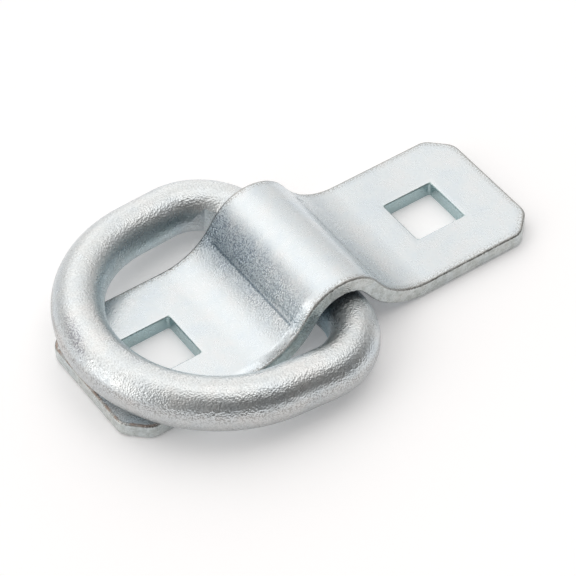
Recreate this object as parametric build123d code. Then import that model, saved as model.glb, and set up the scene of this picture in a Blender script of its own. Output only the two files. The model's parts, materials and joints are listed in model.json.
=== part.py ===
from build123d import *
import math
import os

# Bolt-on D ring tie-down: a forged D ring held to the deck by a pressed flat-bar saddle.
# Millimetres. +X runs along the saddle, +Y across it, +Z up from the deck.
# The origin is on the deck, midway between the two bolt holes.

# Saddle: flat bar cut to length, its rim softened by blanking and tumbling
strap_width = 38.1
strap_length = 111.6
strap_thickness = 3.85
edge_roll = 0.6
end_chamfer_along = 5.3
end_chamfer_across = 5.2
end_corner_radius = 4.0

# Hump over the ring's straight side; height and radius are measured inside the metal
hump_height = 14.1
hump_radius = 7.55
leg_slope = 56.0
foot_radius = 15.6

# Crease that the press leaves across each leg, high on the foot's curve
crease_turn = 49.1
crease_depth = 0.35
crease_half_width = 1.8
crease_length = 31.0
crease_fade = 2.5

# Square holes for carriage bolts
hole_pitch = 73.1
hole_side = 13.3
hole_corner_radius = 0.7
hole_roll = 0.45

# D ring: round rod, drawn flat with its straight side on the Y axis and its bow towards -X.
# The bow's own radius follows from the sides' length and lean.
rod_diameter = 12.0
ring_bar_half = 17.5
ring_corner_radius = 13.65
ring_side_length = 9.78
ring_side_lean = 4.07

# Flats that the forging tool leaves inside the two corners of the D
flat_along_bar = 3.9
flat_along_side = 5.6
flat_bar_inset = 1.9
flat_side_inset = 1.05
flat_run_out = 0.3

# How the loose ring lies in the saddle
floor_gap = 0.1
rest_gap = 0.15
ring_slide = 0.65
ring_offset = 1.1
ring_yaw = 2.1

rod_radius = rod_diameter / 2
bar_height = rod_radius + floor_gap


def bend_corners(lift):
    """Corner points of the bar's side view, lift above its underside, before bending radii."""
    slope = math.radians(leg_slope)
    apex = hump_height - hump_radius + (hump_radius + lift) / math.cos(slope)
    foot = (apex - lift) / math.tan(slope)
    half_length = strap_length / 2
    return [(-half_length, lift), (-foot, lift), (0, apex), (foot, lift), (half_length, lift)]


def strap_profile():
    """Side view of the pressed bar: two parallel outlines with tangent bends."""
    under_radii = [foot_radius + strap_thickness, hump_radius, foot_radius + strap_thickness]
    over_radii = [foot_radius, hump_radius + strap_thickness, foot_radius]
    with BuildSketch(Plane.XZ) as profile:
        with BuildLine():
            under = FilletPolyline(*bend_corners(0), radius=under_radii)
            over = FilletPolyline(*bend_corners(strap_thickness), radius=over_radii)
            Line(under @ 0, over @ 0)
            Line(under @ 1, over @ 1)
        make_face()
    return profile.sketch


def strap_outline():
    """Plan view of the bar: a rectangle with its four corners cut and softened."""
    half_length = strap_length / 2
    half_width = strap_width / 2
    corner = [
        (half_length, half_width - end_chamfer_across),
        (half_length - end_chamfer_along, half_width),
    ]
    loop = corner + [(-x, y) for x, y in reversed(corner)]
    loop += [(-x, -y) for x, y in loop]
    with BuildSketch() as outline:
        with BuildLine():
            Polyline(*loop, close=True)
        make_face()
        fillet(outline.vertices(), end_corner_radius)
    return outline.sketch


def rim_edges(solid):
    """Edges all round the bar where its broad faces meet its cut walls."""
    end = strap_length / 2 - 0.01
    middle_height = strap_thickness / 2
    rim = []
    for edge in solid.edges():
        centre = edge.center()
        direction = edge.tangent_at(0.5)
        upright = abs(direction.Z) > 0.999 and abs(centre.Z - middle_height) < 0.01
        across = abs(direction.Y) > 0.999 and abs(centre.X) < end
        if not upright and not across:
            rim.append(edge)
    return rim


def crease_section(side, y, sink):
    """One V of the crease at y, its floor sunk below the leg's surface by sink."""
    turn = math.radians(crease_turn)
    foot = bend_corners(strap_thickness)[3][0]
    centre_x = foot + foot_radius * math.tan(math.radians(leg_slope) / 2)
    centre_z = strap_thickness + foot_radius
    curve_rise = crease_half_width**2 / (2 * foot_radius)
    arm = 1.5 * crease_half_width
    arm_rise = 1.5 * (crease_depth + curve_rise)
    corners = []
    for run, rise in ((-arm, arm_rise), (0, 0), (arm, arm_rise)):
        reach = foot_radius + sink - rise
        x = centre_x - reach * math.sin(turn) + run * math.cos(turn)
        z = centre_z - reach * math.cos(turn) - run * math.sin(turn)
        corners.append((side * x, y, z))
    return Face(Wire.make_polygon(corners, close=True))


def crease_tool(side):
    """Shallow valley across one leg that fades out before the bar's edges."""
    full = crease_length / 2
    end = full + crease_fade
    clear = -0.3
    stations = [(-end, clear), (-full, crease_depth), (full, crease_depth), (end, clear)]
    return loft([crease_section(side, y, sink) for y, sink in stations], ruled=True)


def square_hole(x):
    """Punched square hole, cut clear through the pad at x."""
    with BuildSketch(Plane((x, 0, -strap_thickness))) as square:
        RectangleRounded(hole_side, hole_side, hole_corner_radius)
    return extrude(square.sketch, 3 * strap_thickness)


def hole_mouth(solid, x):
    """Edges of the square hole at x on the upper face, which the punch pulls down."""
    reach = hole_side / 2 + 0.1
    mouth = []
    for edge in solid.edges():
        centre = edge.center()
        level = abs(edge.tangent_at(0.5).Z) < 0.01 and centre.Z > strap_thickness / 2
        if level and abs(centre.X - x) < reach and abs(centre.Y) < reach:
            mouth.append(edge)
    return mouth


def saddle_bracket():
    """The pressed saddle, in one piece of flat bar."""
    bar = extrude(strap_profile(), strap_width, both=True)
    blank = extrude(strap_outline(), hump_height + 2 * strap_thickness)
    saddle = bar & blank
    saddle = fillet(rim_edges(saddle), edge_roll)
    for side in (-1, 1):
        hole_x = side * hole_pitch / 2
        saddle -= crease_tool(side)
        saddle -= square_hole(hole_x)
        saddle = fillet(hole_mouth(saddle, hole_x), hole_roll)
    return saddle


def ring_bow():
    """Radius of the D's bow and the distance of its centre from the bar, met by both sides."""
    lean = math.radians(ring_side_lean)
    start_along = ring_corner_radius * (1 + math.sin(lean))
    start_across = ring_bar_half + ring_corner_radius * math.cos(lean)
    end_along = start_along + ring_side_length * math.cos(lean)
    end_across = start_across - ring_side_length * math.sin(lean)
    radius = end_across / math.cos(lean)
    return radius, end_along - radius * math.sin(lean)


def ring_path():
    """Centreline of the D: bar, two corner arcs, two short leaning sides and the bow."""
    turn = 90 + ring_side_lean
    bow_radius, bow_offset = ring_bow()
    with BuildLine() as path:
        Line((0, -ring_bar_half), (0, ring_bar_half))
        left = CenterArc((-ring_corner_radius, ring_bar_half), ring_corner_radius, 0, turn)
        bow = CenterArc((-bow_offset, 0), bow_radius, turn, 360 - 2 * turn)
        right = CenterArc((-ring_corner_radius, -ring_bar_half), ring_corner_radius, -turn, turn)
        Line(left @ 1, bow @ 0)
        Line(bow @ 1, right @ 0)
    return path.wire()


def corner_flat(side):
    """Upright prism that trims the inside of one corner of the D to smooth flats."""
    bar_line = -rod_radius
    side_line = ring_bar_half + ring_corner_radius - rod_radius
    points = [
        (bar_line, ring_bar_half),
        (bar_line, side_line - flat_along_bar),
        (bar_line - flat_bar_inset, side_line - flat_side_inset),
        (bar_line - flat_along_side, side_line - flat_run_out),
        (-ring_corner_radius, side_line - flat_run_out),
        (-ring_corner_radius, ring_bar_half),
    ]
    with BuildSketch(Plane((0, 0, -rod_radius))) as plan:
        with BuildLine():
            Polyline(*[(x, side * y) for x, y in points], close=True)
        make_face()
    return extrude(plan.sketch, rod_diameter)


def rest_tilt():
    """Degrees that the ring is tipped up where its bow lies on the pad's rim."""
    rim = strap_width / 2 - edge_roll
    bow_radius, bow_offset = ring_bow()
    contact = bow_offset + math.sqrt(bow_radius**2 - rim**2)
    climb = strap_thickness + rest_gap + rod_radius - bar_height
    return math.degrees(math.asin(climb / contact))


def d_ring():
    """The forged ring, lying loose in the saddle with its bow on one pad."""
    with BuildSketch(Plane.XZ) as section:
        Circle(rod_radius)
    ring = sweep(section.sketch, path=ring_path())
    for side in (-1, 1):
        ring -= corner_flat(side)
    in_saddle = Location((ring_slide, ring_offset, bar_height), (0, 0, ring_yaw))
    tipped_up = Location((0, 0, 0), (0, rest_tilt(), 0))
    return ring.moved(in_saddle * tipped_up)


pieces = {
    "saddle_bracket": saddle_bracket(),
    "d_ring": d_ring(),
}

os.makedirs("parts", exist_ok=True)
for name, piece in pieces.items():
    piece.label = name
    export_step(piece, f"parts/{name}.step")
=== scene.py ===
"""Looks of a bolt-on D ring tie-down: plated saddle and ring, floor, soft light and camera.

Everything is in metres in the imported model's frame: +X along the saddle, +Y across it, +Z up,
with the origin on the deck midway between the two bolt holes.
"""

import json
import logging
import math
from dataclasses import dataclass
from enum import Enum

import bpy
import numpy as np
from mathutils import Matrix, Vector

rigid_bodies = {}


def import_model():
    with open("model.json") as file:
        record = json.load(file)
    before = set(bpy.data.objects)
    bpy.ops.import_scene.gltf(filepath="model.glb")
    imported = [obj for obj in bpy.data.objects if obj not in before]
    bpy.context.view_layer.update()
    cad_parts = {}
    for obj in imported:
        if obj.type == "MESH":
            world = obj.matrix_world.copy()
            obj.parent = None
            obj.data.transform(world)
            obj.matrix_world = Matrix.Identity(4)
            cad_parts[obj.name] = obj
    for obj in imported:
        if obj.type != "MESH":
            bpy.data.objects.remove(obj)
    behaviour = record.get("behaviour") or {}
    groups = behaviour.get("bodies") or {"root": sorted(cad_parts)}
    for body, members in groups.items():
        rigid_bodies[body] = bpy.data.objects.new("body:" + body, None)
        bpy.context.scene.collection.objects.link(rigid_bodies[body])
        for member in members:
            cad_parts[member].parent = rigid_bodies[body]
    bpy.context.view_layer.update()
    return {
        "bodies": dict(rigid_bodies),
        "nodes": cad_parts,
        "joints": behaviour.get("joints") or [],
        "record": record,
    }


LOG = logging.getLogger("tie_down")
MM = 0.001

Socket = bpy.types.NodeSocket
Pair = tuple[float, float]
Triple = tuple[float, float, float]
Span = tuple[float, float]


class Grain(Enum):
    """How the steel's grain lies under the plating: its squeeze along each axis."""

    ROLLED = (0.8, 1.0, 1.0)
    BLASTED = (1.0, 1.0, 1.0)


@dataclass(frozen=True)
class Clouds:
    """A noise pattern: its main features' size in metres, its octaves and their weight."""

    size: float
    detail: float
    roughness: float = 0.5


class NodeGraph:
    """The shader nodes of one material or world, with short ways to add and join them."""

    # Vector Math operations that give a number
    SCALAR_RESULTS = ("DISTANCE", "DOT_PRODUCT", "LENGTH")
    # Sockets of a Mix node that mixes colours: the share, both colours and the result
    MIX_INPUTS = (0, 6, 7)
    MIX_RESULT = 2

    def __init__(self, tree: bpy.types.NodeTree, coordinates: str | None = None) -> None:
        """Empties the tree, ready for new nodes.

        Args:
            tree: the node tree to fill.
            coordinates: the kind of texture coordinates that its patterns read, if any.
        """
        self.tree = tree
        self.where: Socket | None = None
        tree.nodes.clear()
        if coordinates:
            self.where = self.add("ShaderNodeTexCoord").outputs[coordinates]

    def add(self, kind: str, **settings) -> bpy.types.Node:
        """Adds one node.

        Args:
            kind: the node's type name.
            settings: properties of the node, or values of its input sockets with
                the socket's name in lower case and spaces as underscores.

        Returns:
            The new node.
        """
        node = self.tree.nodes.new(kind)
        for key, value in settings.items():
            if hasattr(node, key):
                setattr(node, key, value)
                continue
            wanted = key.replace("_", " ")
            socket = next(s for s in node.inputs if s.name.lower() == wanted)
            socket.default_value = value
        return node

    def join(self, source: Socket, target: Socket) -> None:
        """Joins an output socket to an input socket."""
        self.tree.links.new(source, target)

    def feed(self, node: bpy.types.Node, values: tuple) -> None:
        """Gives a node's inputs, in their order, a socket to read or a plain value."""
        for target, value in zip(node.inputs, values):
            if isinstance(value, Socket):
                self.join(value, target)
            else:
                target.default_value = value

    def math(self, operation: str, *values: Socket | float) -> Socket:
        """Works out a number with one Math node.

        Args:
            operation: the node's operation.
            values: its inputs, each a socket or a plain number.

        Returns:
            The result.
        """
        node = self.add("ShaderNodeMath", operation=operation)
        self.feed(node, values)
        return node.outputs["Value"]

    def vector(self, operation: str, *values: Socket | Triple | Vector) -> Socket:
        """Works out a vector, or a measure of one, with one Vector Math node.

        Args:
            operation: the node's operation.
            values: its inputs, each a socket or a plain vector.

        Returns:
            The result, a number for distances, dot products and lengths.
        """
        node = self.add("ShaderNodeVectorMath", operation=operation)
        self.feed(node, values)
        result = "Value" if operation in self.SCALAR_RESULTS else "Vector"
        return node.outputs[result]

    def product(self, first: Socket, *others: Socket) -> Socket:
        """Multiplies shares."""
        for other in others:
            first = self.math("MULTIPLY", first, other)
        return first

    def axes(self) -> tuple[Socket, Socket, Socket]:
        """Splits the coordinates into X, Y and Z."""
        node = self.add("ShaderNodeSeparateXYZ")
        self.join(self.where, node.inputs["Vector"])
        return node.outputs["X"], node.outputs["Y"], node.outputs["Z"]

    def noise(self, clouds: Clouds, where: Socket | None = None) -> Socket:
        """Adds a noise pattern.

        Args:
            clouds: the pattern.
            where: the coordinates that it reads, if not the graph's own.

        Returns:
            The noise, from 0 to 1 with its middle at 0.5.
        """
        node = self.add(
            "ShaderNodeTexNoise",
            scale=1.0 / clouds.size,
            detail=clouds.detail,
            roughness=clouds.roughness,
        )
        self.join(where or self.where, node.inputs["Vector"])
        return node.outputs["Fac"]

    def ease(self, value: Socket, span: Span) -> Socket:
        """Goes smoothly from 0 where the value is at the span's start to 1 at its end.

        Args:
            value: the value that it follows.
            span: where the share is 0 and where it is 1. The second may be the smaller.

        Returns:
            A share from 0 to 1.
        """
        start, end = span
        node = self.add(
            "ShaderNodeMapRange",
            interpolation_type="SMOOTHSTEP",
            from_min=min(span),
            from_max=max(span),
            to_min=float(end < start),
            to_max=float(end > start),
        )
        self.join(value, node.inputs["Value"])
        return node.outputs["Result"]

    def window(self, value: Socket, rise: Span, fall: Span) -> Socket:
        """1 where the value is between two spans, and 0 outside both of them."""
        return self.product(self.ease(value, rise), self.ease(value, fall))

    def spread(self, value: Socket, start: Span, end: Span) -> Socket:
        """Stretches a value evenly.

        Args:
            value: the value.
            start: the range that it has.
            end: the range that it gets.

        Returns:
            The stretched value.
        """
        node = self.add(
            "ShaderNodeMapRange",
            from_min=start[0],
            from_max=start[1],
            to_min=end[0],
            to_max=end[1],
        )
        self.join(value, node.inputs["Value"])
        return node.outputs["Result"]

    def stain(self, color: Socket, share: Socket, layer: Triple) -> Socket:
        """Multiplies a colour by a layer's colour, as far as the share says.

        Args:
            color: the colour under the layer.
            share: how much of the layer there is, from 0 to 1.
            layer: the layer's colour.

        Returns:
            The stained colour.
        """
        node = self.add("ShaderNodeMix", data_type="RGBA", blend_type="MULTIPLY")
        factor, underside_shade, over = (node.inputs[index] for index in self.MIX_INPUTS)
        self.join(share, factor)
        self.join(color, underside_shade)
        over.default_value = (*layer, 1.0)
        return node.outputs[self.MIX_RESULT]

    def bump(
        self,
        height: Socket,
        depth: float,
        below: Socket | None = None,
        strength: Socket | None = None,
    ) -> Socket:
        """Adds one layer of relief on top of another.

        Args:
            height: the layer's pattern, from 0 to 1.
            depth: the height, in metres, that the pattern's 1 stands for.
            below: the bent normal of the layers under it, if any.
            strength: how much of the layer shows at each place, if not all of it.

        Returns:
            The bent normal.
        """
        node = self.add("ShaderNodeBump", strength=1.0, distance=depth)
        self.join(height, node.inputs["Height"])
        if below is not None:
            self.join(below, node.inputs["Normal"])
        if strength is not None:
            self.join(strength, node.inputs["Strength"])
        return node.outputs["Normal"]


@dataclass(frozen=True)
class ZincPlate:
    """Bright zinc plating over steel, with the grain of what lies under it.

    A span runs from the value where its share is 0 to the value where it is 1.
    """

    name: str
    grain: Grain
    color: Triple = (0.664, 0.725, 0.760)
    metallic: float = 1.0
    roughness: float = 0.28
    roughness_swing: float = 0.05
    patches: Clouds = Clouds(2.5 * MM, 5.0, 0.65)
    patch_range: Span = (0.3, 0.7)
    clouds: Clouds = Clouds(6.0 * MM, 4.0, 0.62)
    cloud_range: Span = (0.30, 0.70)
    cloud_tints: tuple[Triple, Triple] = ((0.945, 0.965, 0.99), (1.045, 1.01, 0.995))
    specks: Clouds = Clouds(0.35 * MM, 1.0)
    speck_span: Span = (0.46, 0.60)
    waves: Clouds = Clouds(9.0 * MM, 1.0)
    wave_depth: float = 0.040 * MM
    pits: Clouds = Clouds(0.8 * MM, 2.0)
    pit_depth: float = 0.032 * MM
    grain_size: float = 0.30 * MM
    grain_depth: float = 0.080 * MM
    grain_softness: float = 0.3

    def build(self) -> bpy.types.Material:
        """Makes the plating's material.

        Returns:
            The material, with all patterns on Object coordinates.
        """
        material = bpy.data.materials.new(self.name)
        material.use_nodes = True
        graph = NodeGraph(material.node_tree, "Object")
        out = graph.add("ShaderNodeOutputMaterial")
        metal = graph.add("ShaderNodeBsdfPrincipled", metallic=self.metallic)
        graph.join(metal.outputs["BSDF"], out.inputs["Surface"])
        graph.join(self.tint(graph), metal.inputs["Base Color"])
        graph.join(self.gloss(graph), metal.inputs["Roughness"])
        graph.join(self.relief(graph), metal.inputs["Normal"])
        return material

    def speckle(self, graph: NodeGraph) -> Socket:
        """Scatters fine dark grains: 1 in a grain and 0 between them."""
        return graph.ease(graph.noise(self.specks), self.speck_span)

    def dimples(self, graph: NodeGraph) -> Socket:
        """Packs soft dimples, drawn out where the steel is rolled: 0 in their middles."""
        node = graph.add(
            "ShaderNodeTexVoronoi",
            feature="SMOOTH_F1",
            scale=1.0 / self.grain_size,
            smoothness=self.grain_softness,
        )
        drawn = graph.vector("MULTIPLY", graph.where, self.grain.value)
        graph.join(drawn, node.inputs["Vector"])
        return node.outputs["Distance"]

    def tint(self, graph: NodeGraph) -> Socket:
        """Colours the plating: bluish white with faint clouds, as passivated zinc has."""
        node = graph.add("ShaderNodeValToRGB")
        ends = zip(node.color_ramp.elements, self.cloud_range, self.cloud_tints)
        for stop, place, tint in ends:
            stop.position = place
            stop.color = (*(base * part for base, part in zip(self.color, tint)), 1.0)
        middle = node.color_ramp.elements.new(sum(self.cloud_range) / 2)
        middle.color = (*self.color, 1.0)
        graph.join(graph.noise(self.clouds), node.inputs["Fac"])
        return node.outputs["Color"]

    def gloss(self, graph: NodeGraph) -> Socket:
        """Varies the roughness a little, patch by patch."""
        low = self.roughness - self.roughness_swing
        high = self.roughness + self.roughness_swing
        return graph.spread(graph.noise(self.patches), self.patch_range, (low, high))

    def waves_and_pits(self, graph: NodeGraph, below: Socket | None = None) -> Socket:
        """Adds the slow waves and the shallow pits.

        Args:
            graph: the material's nodes.
            below: the bent normal of the layers under them, if any.

        Returns:
            The bent normal.
        """
        bent = graph.bump(graph.noise(self.waves), self.wave_depth, below)
        return graph.bump(graph.noise(self.pits), self.pit_depth, bent)

    def relief(self, graph: NodeGraph) -> Socket:
        """Stacks the waves, the pits and the fine grain."""
        bent = self.waves_and_pits(graph)
        return graph.bump(self.dimples(graph), self.grain_depth, bent)


@dataclass(frozen=True)
class StrapPlate(ZincPlate):
    """Zinc on the pressed flat bar: smooth pads, grainy legs and rims, sheared walls."""

    metallic: float = 0.82

    # The bar's outer walls: long sides, ends, and cut corners on |x| and |y|
    half_length: float = 55.8 * MM
    half_width: float = 19.05 * MM
    cut_normal: Pair = (0.700, 0.714)
    cut_reach: float = 48.95 * MM
    corner_blend: float = 2.0 * MM

    # Square holes: from the hole's middle outwards
    hole_middle: float = 36.55 * MM
    hole_wall: Span = (7.00 * MM, 6.75 * MM)
    hole_mouth: Span = (6.85 * MM, 7.95 * MM)
    hole_roll_depth: float = 0.05 * MM
    # Painted shade on the holes' inner walls
    painted_hole_shade_tint: Triple = (0.66, 0.77, 0.75)

    # Sheared walls and rims: distances past the outer walls, negative inside
    wall_span: Span = (-0.25 * MM, -0.05 * MM)
    wall_tint: Triple = (0.95, 0.92, 0.87)
    blots: Clouds = Clouds(1.4 * MM, 3.0, 0.6)
    blot_span: Span = (0.40, 0.66)
    blot_tint: Triple = (0.80, 0.80, 0.78)
    marks: Clouds = Clouds(0.35 * MM, 2.0)
    mark_stretch: Triple = (1.0, 1.0, 0.12)
    mark_depth: float = 0.05 * MM
    # The worn rim line, and its grainy inward fringe, which is painted shade for the rolled
    # edge
    rim_fringe: Span = (-2.3 * MM, -0.5 * MM)
    rim_rough: Span = (-1.6 * MM, -0.5 * MM)
    rim_top: Span = (-0.85 * MM, -0.40 * MM)
    rim_side: Span = (-0.02 * MM, -0.15 * MM)
    worn_rim_and_shade_tint: Triple = (0.58, 0.55, 0.52)
    rust_top: Span = (-0.95 * MM, -0.55 * MM)
    rust_side: Span = (-0.05 * MM, -0.30 * MM)
    rust: Clouds = Clouds(2.2 * MM, 3.0, 0.6)
    rust_span: Span = (0.38, 0.56)
    rust_tint: Triple = (0.86, 0.68, 0.60)

    # Places along X
    left_side: Span = (0.0, -3.0 * MM)
    leg_inner: Span = (-4.0 * MM, -12.0 * MM)
    leg_outer: Span = (-36.0 * MM, -24.0 * MM)
    left_end: Span = (-44.0 * MM, -52.0 * MM)
    fringe_start: Span = (-52.0 * MM, -46.0 * MM)
    lead_in: Span = (42.0 * MM, 20.0 * MM)
    lead_depth: float = 0.60 * MM

    # Places along Y; the camera's side of the bar is at -Y
    # Spans along Y of the painted shade on the left leg and of its dark specks
    leg_shade_along: Span = (-18.0 * MM, 19.05 * MM)
    speck_along: Span = (-50.0 * MM, 19.05 * MM)
    leg_shade_edge: Span = (-18.25 * MM, -15.85 * MM)
    near_roll: Span = (-18.85 * MM, -17.45 * MM)
    near_roll_depth: float = 0.10 * MM
    near_drawn: Span = (-19.05 * MM, -15.65 * MM)
    near_drawn_depth: float = 0.85 * MM

    # Heights on the legs
    leg_rise: Span = (5.0 * MM, 7.0 * MM)
    leg_fall: Span = (15.5 * MM, 12.5 * MM)
    # Heights and cloudy border of the painted shade on the left leg
    leg_shade_rise: Span = (6.6 * MM, 10.5 * MM)
    leg_shade_fall: Span = (18.1 * MM, 14.5 * MM)
    leg_shade_border: Clouds = Clouds(3.0 * MM, 4.0, 0.6)
    leg_shade_drift: float = 2.0 * MM
    # Painted shade on the walls along the left leg
    painted_leg_wall_shade_tint: Triple = (0.72, 0.81, 0.82)
    # Painted shade on the left leg, and on its dark specks
    painted_leg_shade_tint: Triple = (0.60, 0.65, 0.69)
    painted_shade_speck_tint: Triple = (0.38, 0.41, 0.46)

    # The press crease, with painted shade along it: its bottom on |x| and z, the distance from
    # it, and its ends on |y|
    crease_place: Triple = (11.85 * MM, 0.0, 9.05 * MM)
    crease_line: Span = (0.45 * MM, 0.10 * MM)
    crease_end: Span = (17.05 * MM, 14.55 * MM)
    painted_crease_shade_tint: Triple = (0.45, 0.50, 0.54)

    pad_grain: float = 0.28

    def places(self, graph: NodeGraph) -> tuple[Socket, Socket, Socket]:
        """Distance from the saddle's two middle planes, along and across, and height."""
        along, across, height = graph.axes()
        return graph.math("ABSOLUTE", along), graph.math("ABSOLUTE", across), height

    def hole_reach(self, graph: NodeGraph) -> Socket:
        """Distance from the nearer bolt hole's middle, measured squarely."""
        along, across, _ = self.places(graph)
        aside = graph.math("ABSOLUTE", graph.math("SUBTRACT", along, self.hole_middle))
        return graph.math("MAXIMUM", aside, across)

    def past_wall(self, graph: NodeGraph) -> Socket:
        """How far a place is past the bar's outer walls: 0 on them and less than 0 inside.

        Args:
            graph: the material's nodes.

        Returns:
            The distance in metres, rounded off at the cut corners as the walls are.
        """
        along, across, _ = self.places(graph)
        slope_along, slope_across = self.cut_normal
        cut = graph.math("MULTIPLY", along, slope_along)
        cut = graph.math("MULTIPLY_ADD", across, slope_across, cut)
        past = graph.math("SUBTRACT", across, self.half_width)
        for reach, wall in ((along, self.half_length), (cut, self.cut_reach)):
            beyond = graph.math("SUBTRACT", reach, wall)
            past = graph.math("SMOOTH_MAX", past, beyond, self.corner_blend)
        return past

    def wall_share(self, graph: NodeGraph) -> Socket:
        """1 on the sheared outer walls of the bar and 0 elsewhere."""
        return graph.ease(self.past_wall(graph), self.wall_span)

    def leg_shade_share(self, graph: NodeGraph, along: Span) -> Socket:
        """1 on the left leg, where painted shade stands in for the ring's shade and the leg's
        dark reflection.

        Args:
            graph: the material's nodes.
            along: the span along Y in which the painted shade grows.

        Returns:
            A share from 0 to 1, cloudy at its borders and fading towards -Y.
        """
        x, y, z = graph.axes()
        border = graph.noise(self.leg_shade_border)
        height = graph.math("MULTIPLY_ADD", border, self.leg_shade_drift, z)
        return graph.product(
            graph.window(height, self.leg_shade_rise, self.leg_shade_fall),
            graph.ease(x, self.left_side),
            graph.window(y, along, self.leg_shade_edge),
        )

    def leg_share(self, graph: NodeGraph) -> Socket:
        """1 along the left leg and 0 away from it."""
        return graph.window(graph.axes()[0], self.leg_inner, self.leg_outer)

    def crease_shade_share(self, graph: NodeGraph) -> Socket:
        """1 along the bottom of the press crease, where painted shade darkens it."""
        along, across, height = self.places(graph)
        flat = graph.add("ShaderNodeCombineXYZ")
        graph.join(along, flat.inputs["X"])
        graph.join(height, flat.inputs["Z"])
        apart = graph.vector("DISTANCE", flat.outputs["Vector"], self.crease_place)
        return graph.product(
            graph.ease(apart, self.crease_line), graph.ease(across, self.crease_end)
        )

    def worn_rim_and_shade_share(self, graph: NodeGraph, speckle: Socket) -> Socket:
        """1 on the blanked rim, where the plating wears thin, with a grainy fringe inwards of
        painted shade.

        Args:
            graph: the material's nodes.
            speckle: the fine dark grains.

        Returns:
            A share from 0 to 1.
        """
        past = self.past_wall(graph)
        fringe = graph.ease(past, self.rim_fringe)
        away_from_end = graph.ease(graph.axes()[0], self.fringe_start)
        grains = graph.product(fringe, speckle, away_from_end)
        line = graph.window(past, self.rim_top, self.rim_side)
        side = graph.ease(past, self.rim_side)
        return graph.product(graph.math("MAXIMUM", grains, line), side)

    def rust_share(self, graph: NodeGraph) -> Socket:
        """1 in rusty patches along the rim of the left end, and 0 away from it."""
        return graph.product(
            graph.window(self.past_wall(graph), self.rust_top, self.rust_side),
            graph.ease(graph.axes()[0], self.left_end),
            graph.ease(graph.noise(self.rust), self.rust_span),
        )

    def rough_share(self, graph: NodeGraph) -> Socket:
        """1 on the drawn legs, the rims and the walls, where the grain opens up."""
        legs = graph.window(graph.axes()[2], self.leg_rise, self.leg_fall)
        rims = graph.ease(self.past_wall(graph), self.rim_rough)
        return graph.math("MAXIMUM", legs, rims)

    def tint(self, graph: NodeGraph) -> Socket:
        """Adds the dull walls, painted shade in the holes, on the left leg's walls, on the left
        leg and in the crease, and the worn rims with their fringe of painted shade.
        """
        speckle = self.speckle(graph)
        wall = self.wall_share(graph)
        blots = graph.ease(graph.noise(self.blots), self.blot_span)
        # Dark specks of painted shade on the left leg
        specks = graph.product(self.leg_shade_share(graph, self.speck_along), speckle)
        color = super().tint(graph)
        for share, layer in (
            (wall, self.wall_tint),
            (graph.product(wall, blots), self.blot_tint),
            # Painted shade on the walls along the left leg
            (graph.product(wall, self.leg_share(graph)), self.painted_leg_wall_shade_tint),
            # Painted shade on the holes' inner walls
            (graph.ease(self.hole_reach(graph), self.hole_wall), self.painted_hole_shade_tint),
            # Painted shade on the left leg, then on its dark specks
            (self.leg_shade_share(graph, self.leg_shade_along), self.painted_leg_shade_tint),
            (specks, self.painted_shade_speck_tint),
            # Painted shade in the crease
            (self.crease_shade_share(graph), self.painted_crease_shade_tint),
            # Worn rim, with a grainy fringe of painted shade
            (self.worn_rim_and_shade_share(graph, speckle), self.worn_rim_and_shade_tint),
            (self.rust_share(graph), self.rust_tint),
        ):
            color = graph.stain(color, share, layer)
        return color

    def relief(self, graph: NodeGraph) -> Socket:
        """Stacks the bend's lead-in, rolled rims, waves, pits, shear marks and grain."""
        along = self.places(graph)[0]
        y = graph.axes()[1]
        bent = graph.bump(graph.ease(along, self.lead_in), self.lead_depth)
        bent = graph.bump(graph.ease(y, self.near_roll), self.near_roll_depth, bent)
        drawn = graph.ease(y, self.near_drawn)
        bent = graph.bump(drawn, self.near_drawn_depth, bent, self.leg_share(graph))
        mouth = graph.ease(self.hole_reach(graph), self.hole_mouth)
        bent = graph.bump(mouth, self.hole_roll_depth, bent)
        bent = self.waves_and_pits(graph, bent)
        upright = graph.vector("MULTIPLY", graph.where, self.mark_stretch)
        marks = graph.noise(self.marks, upright)
        bent = graph.bump(marks, self.mark_depth, bent, self.wall_share(graph))
        strength = graph.spread(self.rough_share(graph), (0.0, 1.0), (self.pad_grain, 1.0))
        return graph.bump(self.dimples(graph), self.grain_depth, bent, strength)


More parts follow.
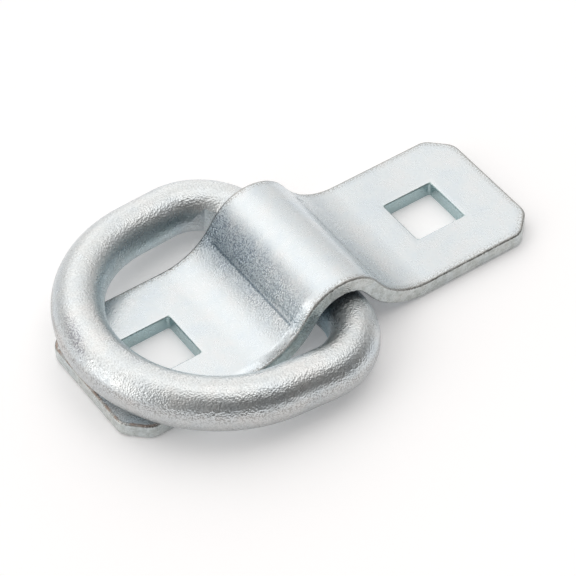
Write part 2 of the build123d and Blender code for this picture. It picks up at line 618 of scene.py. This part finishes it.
@dataclass(frozen=True)
class RodPlate(ZincPlate):
    """Zinc on the forged rod: darkened with painted shade and grainy where it turns inside the
    saddle.
    """

    pock_tint: Triple = (0.87, 0.87, 0.87)

    # The bar inside the saddle, darkened with painted shade and its dark specks: its ends on
    # |y| and its depth along X
    contact_shade_ends: Span = (19.0 * MM, 15.0 * MM)
    contact_shade_side: Span = (-9.0 * MM, -4.5 * MM)
    painted_contact_shade_tint: Triple = (0.62, 0.62, 0.64)
    painted_shade_speck_tint: Triple = (0.50, 0.48, 0.48)

    # The inner side of the D with a painted reflection tint, by level distance from the bow's
    # middle, and its corner flats with painted shade
    bow_middle: Triple = (-21.5 * MM, 0.3 * MM, 0.0)
    inner_side_reach: Span = (27.3 * MM, 25.6 * MM)
    painted_inner_reflection_tint: Triple = (0.92, 1.0, 1.02)
    flat_start: Span = (-14.0 * MM, -10.5 * MM)
    painted_flat_shade_tint: Triple = (0.74, 0.80, 0.83)

    # The underside of the outer side, darkened with painted shade and a painted dark band, by
    # height above the D's own middle plane
    outer_reach: Span = (28.6 * MM, 31.6 * MM)
    ring_up: Triple = (0.0839, 0.0, 0.9965)
    ring_middle: Triple = (0.65 * MM, 1.1 * MM, 6.1 * MM)
    under_span: Span = (3.0 * MM, 1.0 * MM)
    painted_underside_shade_tint: Triple = (0.88, 0.845, 0.825)
    band_span: Span = (-0.6 * MM, 1.4 * MM)
    painted_dark_band_tint: Triple = (0.66, 0.64, 0.63)

    # A long spot worn on the outer side of the bow: its middle, half-sizes and directions,
    # and its fading as a share of the half-sizes
    knock_middle: Triple = (-54.9 * MM, 4.4 * MM, 15.4 * MM)
    knock_half_length: float = 9.0 * MM
    knock_half_width: float = 2.2 * MM
    knock_along: Triple = (0.22, 0.97, 0.0)
    knock_across: Triple = (-0.77, 0.21, -0.60)
    knock_span: Span = (1.1, 0.2)
    knock_tint: Triple = (0.62, 0.60, 0.66)

    def bow_distance(self, graph: NodeGraph) -> Socket:
        """Level distance from the middle of the D's bow."""
        level = graph.vector("MULTIPLY", graph.where, (1.0, 1.0, 0.0))
        return graph.vector("DISTANCE", level, self.bow_middle)

    def ring_height(self, graph: NodeGraph) -> Socket:
        """Height above the D's own middle plane."""
        offset = graph.vector("SUBTRACT", graph.where, self.ring_middle)
        return graph.vector("DOT_PRODUCT", offset, self.ring_up)

    def knock_share(self, graph: NodeGraph) -> Socket:
        """1 in a long worn spot on the outer side of the bow, and 0 away from it."""
        offset = graph.vector("SUBTRACT", graph.where, self.knock_middle)
        flat = graph.add("ShaderNodeCombineXYZ")
        for axis, way, half in (
            ("X", self.knock_along, self.knock_half_length),
            ("Y", self.knock_across, self.knock_half_width),
        ):
            reach = graph.vector("DOT_PRODUCT", offset, Vector(way) / half)
            graph.join(reach, flat.inputs[axis])
        return graph.ease(graph.vector("LENGTH", flat.outputs["Vector"]), self.knock_span)

    def tint(self, graph: NodeGraph) -> Socket:
        """Adds the pocks, a painted reflection tint inside the D, painted shade on its corner
        flats and underside with a painted dark band, painted shade on the bar inside the
        saddle, and the knock.
        """
        x, y, _ = graph.axes()
        speckle = self.speckle(graph)
        distance = self.bow_distance(graph)
        inner_side = graph.ease(distance, self.inner_side_reach)
        height = self.ring_height(graph)
        underside_shade = graph.product(
            graph.ease(distance, self.outer_reach), graph.ease(height, self.under_span)
        )
        dark_band = graph.product(underside_shade, graph.ease(height, self.band_span), speckle)
        contact_shade = graph.product(
            graph.ease(graph.math("ABSOLUTE", y), self.contact_shade_ends),
            graph.ease(x, self.contact_shade_side),
        )
        color = super().tint(graph)
        for share, layer in (
            (speckle, self.pock_tint),
            # Painted reflection tint on the inner side of the D
            (inner_side, self.painted_inner_reflection_tint),
            # Painted shade on the corner flats
            (graph.product(inner_side, graph.ease(x, self.flat_start)), self.painted_flat_shade_tint),
            # Painted shade on the underside of the outer side
            (underside_shade, self.painted_underside_shade_tint),
            # Painted dark reflection band, speckled, on the underside
            (dark_band, self.painted_dark_band_tint),
            # Painted shade on the bar inside the saddle, then on its dark specks
            (contact_shade, self.painted_contact_shade_tint),
            (graph.product(contact_shade, speckle), self.painted_shade_speck_tint),
            (graph.product(self.knock_share(graph), speckle), self.knock_tint),
        ):
            color = graph.stain(color, share, layer)
        return color


class CarriedPart:
    """A CAD node that keeps its mesh and gets smooth shading and a finish."""

    node: str
    slot: str
    finish: ZincPlate
    weld_reach: float = 1e-6
    keep_sharp: float = math.radians(32)
    flat_weight: int = 60

    def __init__(self, frame: dict) -> None:
        """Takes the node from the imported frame.
        """
        self.obj: bpy.types.Object = frame["nodes"][self.node]

    def smooth(self) -> None:
        """Joins the faces' loose borders and rounds the shading up to the sharp edges."""
        mesh = self.obj.data
        mesh.polygons.foreach_set("use_smooth", np.ones(len(mesh.polygons), bool))
        weld = self.obj.modifiers.new("weld", "WELD")
        weld.merge_threshold = self.weld_reach
        split = self.obj.modifiers.new("sharp_edges", "EDGE_SPLIT")
        split.split_angle = self.keep_sharp
        weighted = self.obj.modifiers.new("flat_faces_rule", "WEIGHTED_NORMAL")
        weighted.mode = "FACE_AREA"
        weighted.weight = self.flat_weight

    def dress(self) -> None:
        """Gives the node its finish."""
        self.obj.data.materials.clear()
        self.obj.data.materials.append(self.finish.build())

    def make(self) -> bpy.types.Object:
        """Does all of this part's work.

        Returns:
            The part's object.
        """
        self.smooth()
        self.dress()
        LOG.info("%s: %d faces", self.obj.name, len(self.obj.data.polygons))
        return self.obj


class SaddleBracket(CarriedPart):
    """The pressed flat-bar saddle."""

    node = "saddle_bracket"
    slot = "plated_strap"
    finish = StrapPlate(
        name="zinc_on_flat_bar",
        grain=Grain.ROLLED,
        grain_size=0.38 * MM,
        grain_depth=0.075 * MM,
    )


class DRing(CarriedPart):
    """The forged D ring."""

    node = "d_ring"
    slot = "plated_ring"
    finish = RodPlate(
        name="zinc_on_forging",
        grain=Grain.BLASTED,
        color=(0.667, 0.711, 0.729),
        roughness=0.29,
        wave_depth=0.064 * MM,
        pits=Clouds(1.0 * MM, 2.0),
        pit_depth=0.048 * MM,
        grain_size=0.44 * MM,
        grain_depth=0.084 * MM,
    )


@dataclass(frozen=True)
class SoftLight:
    """A large round light far away, brightest at its middle and fading smoothly outwards.

    Angles are in degrees. It has half its radiance at the spread from its middle.
    """

    name: str
    azimuth: float
    elevation: float
    spread: float
    radiance: float

    def toward(self) -> Vector:
        """Direction of its middle: azimuth 0 degrees is -Y and 90 is +X."""
        azimuth, elevation = math.radians(self.azimuth), math.radians(self.elevation)
        level = math.cos(elevation)
        return Vector(
            (math.sin(azimuth) * level, -math.cos(azimuth) * level, math.sin(elevation))
        )

    def add_to(self, graph: NodeGraph, total: Socket | float) -> Socket:
        """Adds this light: radiance times e to the power of sharpness times (cosine - 1).

        Args:
            graph: the world's nodes. The cosine is that of the angle from its middle.
            total: the radiance of the room and the lights before this one.

        Returns:
            The radiance of the room and the lights up to this one.
        """
        sharpness = math.log(2.0) / (1.0 - math.cos(math.radians(self.spread)))
        cosine = graph.vector("DOT_PRODUCT", graph.where, self.toward())
        power = graph.math("MULTIPLY_ADD", cosine, sharpness, -sharpness)
        fall = graph.math("EXPONENT", power)
        return graph.math("MULTIPLY_ADD", fall, self.radiance, total)


@dataclass(frozen=True)
class Studio:
    """A pale floor in a room with soft windows left, right and behind, dim at the front."""

    floor_drop: float = 0.1 * MM
    floor_half: float = 4.0
    floor_color: Triple = (0.91, 0.93, 0.955)
    floor_glow: float = 0.18
    room_level: float = 0.145
    room_color: Triple = (1.045, 1.0, 0.965)
    lights: tuple[SoftLight, ...] = (
        SoftLight("left_window_front", -93.0, 9.0, 13.0, 1.12),
        SoftLight("left_window_back", -110.0, 10.0, 13.0, 1.12),
        SoftLight("left_window_top", -103.0, 31.0, 14.5, 1.35),
        SoftLight("left_middle", -76.0, 33.0, 15.1, 0.20),
        SoftLight("left_upper", -115.0, 60.0, 15.1, 1.10),
        SoftLight("left_front_upper", -45.0, 45.0, 15.1, 0.18),
        SoftLight("front_left_wall", -38.0, 22.0, 18.0, 0.11),
        SoftLight("front_right_wall", 58.0, 18.0, 20.0, 0.10),
        SoftLight("back_left_wall", -160.0, 22.0, 22.0, 0.17),
        SoftLight("back_window", 147.0, 4.0, 18.0, 1.20),
        SoftLight("back_ceiling", 180.0, 45.0, 27.8, 1.30),
        SoftLight("ceiling_lamp", 60.0, 75.0, 15.1, 1.45),
        SoftLight("right_upper", 115.0, 60.0, 15.1, 0.62),
        SoftLight("right_lower", 98.0, 0.0, 15.1, 0.40),
        SoftLight("right_middle", 90.0, 45.0, 15.1, 0.34),
        SoftLight("right_back", 116.0, 30.0, 19.5, 0.36),
    )

    def build(self) -> None:
        """Makes the floor and the room."""
        self._floor()
        self._room()

    def _room(self) -> None:
        """Sets the world: a dim even room plus its soft lights."""
        world = bpy.data.worlds.new("room")
        bpy.context.scene.world = world
        world.use_nodes = True
        graph = NodeGraph(world.node_tree, "Generated")
        out = graph.add("ShaderNodeOutputWorld")
        glow = graph.add("ShaderNodeBackground")
        glow.inputs["Color"].default_value = (*self.room_color, 1.0)
        total = self.room_level
        for light in self.lights:
            total = light.add_to(graph, total)
        graph.join(total, glow.inputs["Strength"])
        graph.join(glow.outputs["Background"], out.inputs["Surface"])

    def _floor(self) -> None:
        """Lays the floor just under the deck plane, whiter to the camera and to gloss."""
        half = self.floor_half
        mesh = bpy.data.meshes.new("floor")
        corners = [(-half, -half), (half, -half), (half, half), (-half, half)]
        points = [(x, y, -self.floor_drop) for x, y in corners]
        mesh.from_pydata(points, [], [(0, 1, 2, 3)])
        floor = bpy.data.objects.new("floor", mesh)
        bpy.context.scene.collection.objects.link(floor)
        material = bpy.data.materials.new("floor_white")
        material.use_nodes = True
        graph = NodeGraph(material.node_tree)
        out = graph.add("ShaderNodeOutputMaterial")
        matt = graph.add("ShaderNodeBsdfDiffuse")
        matt.inputs["Color"].default_value = (*self.floor_color, 1.0)
        glow = graph.add("ShaderNodeEmission")
        rays = graph.add("ShaderNodeLightPath").outputs
        seen = graph.math("MAXIMUM", rays["Is Camera Ray"], rays["Is Glossy Ray"])
        seen = graph.math("MAXIMUM", seen, rays["Is Transmission Ray"])
        graph.join(graph.math("MULTIPLY", seen, self.floor_glow), glow.inputs["Strength"])
        both = graph.add("ShaderNodeAddShader")
        graph.join(matt.outputs["BSDF"], both.inputs[0])
        graph.join(glow.outputs["Emission"], both.inputs[1])
        graph.join(both.outputs["Shader"], out.inputs["Surface"])
        mesh.materials.append(material)


@dataclass(frozen=True)
class PhotoCamera:
    """The camera at the photograph's place, found by fitting the part's edges.

    Angles are in degrees, lengths in metres and the sensor's width in millimetres.
    """

    azimuth: float = -33.62
    elevation: float = 46.82
    roll: float = -1.48
    distance: float = 0.59275
    focal_pixels: float = 2594.29
    image_pixels: float = 576.0
    shift_pixels: Pair = (7.14, 0.61)
    sensor: float = 36.0
    clip: Pair = (0.01, 20.0)

    def build(self) -> bpy.types.Object:
        """Makes the camera and sets it as the scene's own.

        Returns:
            The camera's object.
        """
        azimuth, elevation = math.radians(self.azimuth), math.radians(self.elevation)
        back = Vector(
            (
                math.sin(azimuth) * math.cos(elevation),
                -math.cos(azimuth) * math.cos(elevation),
                math.sin(elevation),
            )
        )
        level = Vector((math.cos(azimuth), math.sin(azimuth), 0.0))
        above = back.cross(level)
        turn = math.radians(self.roll)
        right = level * math.cos(turn) + above * math.sin(turn)
        up = above * math.cos(turn) - level * math.sin(turn)
        data = bpy.data.cameras.new("photo_camera")
        data.sensor_width = self.sensor
        data.lens = self.focal_pixels / self.image_pixels * self.sensor
        data.shift_x = -self.shift_pixels[0] / self.image_pixels
        data.shift_y = self.shift_pixels[1] / self.image_pixels
        data.clip_start, data.clip_end = self.clip
        camera = bpy.data.objects.new("photo_camera", data)
        bpy.context.scene.collection.objects.link(camera)
        turned = Matrix((right, up, back)).transposed().to_4x4()
        camera.matrix_world = Matrix.Translation(back * self.distance) @ turned
        bpy.context.scene.camera = camera
        return camera


def main() -> None:
    """Loads the frame, dresses each part, and sets the light, floor and camera."""
    logging.basicConfig(level=logging.INFO, format="%(name)s: %(message)s")
    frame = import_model()
    PhotoCamera().build()
    Studio().build()
    for part in (SaddleBracket, DRing):
        part(frame).make()
    bpy.context.scene.view_settings.view_transform = "Standard"


if __name__ == "__main__":
    main()
